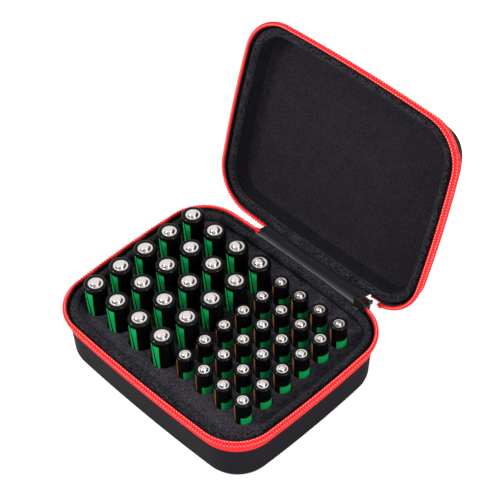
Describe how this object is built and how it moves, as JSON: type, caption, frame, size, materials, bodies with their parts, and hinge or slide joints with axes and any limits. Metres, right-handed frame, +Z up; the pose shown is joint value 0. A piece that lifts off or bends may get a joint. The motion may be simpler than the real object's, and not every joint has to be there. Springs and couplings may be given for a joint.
{
  "type": "battery storage case",
  "caption": "Zipped hard-shell case, open, with a foam insert that holds rows of two sizes of round cells upright.",
  "frame": {"origin": "centre of the base's flat underside", "axes": "+X along the hinge, to the right seen from the front; +Y from the front to the hinge; +Z up"},
  "size_m": [0.1706, 0.2023, 0.1675],
  "materials": {
    "shell_cover": "matte",
    "fleece_lining": "matte",
    "zip_tape": "matte",
    "zip_teeth": "satin",
    "hinge_cloth": "satin",
    "foam": "matte",
    "cell": "satin",
    "slider_metal": "satin",
    "puller_metal": "satin"
  },
  "bodies": {
    "base": {"base_shell": "shell_cover", "base_lining": "fleece_lining", "base_rim_roll": "fleece_lining", "base_zip_tape": "zip_tape", "base_zip_teeth": "zip_teeth", "base_zip_stops": "slider_metal", "base_hinge_strip": "hinge_cloth", "hinge_roll": "hinge_cloth", "foam_insert": "foam", "aa_cells": "cell", "aaa_cells": "cell"},
    "lid": {"lid_shell": "shell_cover", "lid_lining": "fleece_lining", "lid_rim_roll": "fleece_lining", "lid_zip_tape": "zip_tape", "lid_zip_teeth": "zip_teeth", "lid_zip_stops": "slider_metal", "lid_hinge_strip": "hinge_cloth"},
    "slider": {"slider_body": "slider_metal", "puller_pin": "slider_metal"},
    "puller": {"puller_tab": "puller_metal"}
  },
  "joints": [
    {"name": "lid_hinge", "type": "hinge", "parent": "base", "child": "lid", "pos_m": [0, 0.06955, 0.0361], "axis": [-1, 0, 0], "range_deg": [-106.6, 0]},
    {"name": "slider_run", "type": "hinge", "parent": "base", "child": "slider", "pos_m": [0.05547, 0.03971, 0.0425], "axis": [0, 0, -1], "range_deg": [0, 80]},
    {"name": "puller_swing", "type": "hinge", "parent": "slider", "child": "puller", "pos_m": [0.05547, 0.07171, 0.0425], "axis": [1, 0, 0], "range_deg": [0, 35]}
  ]
}
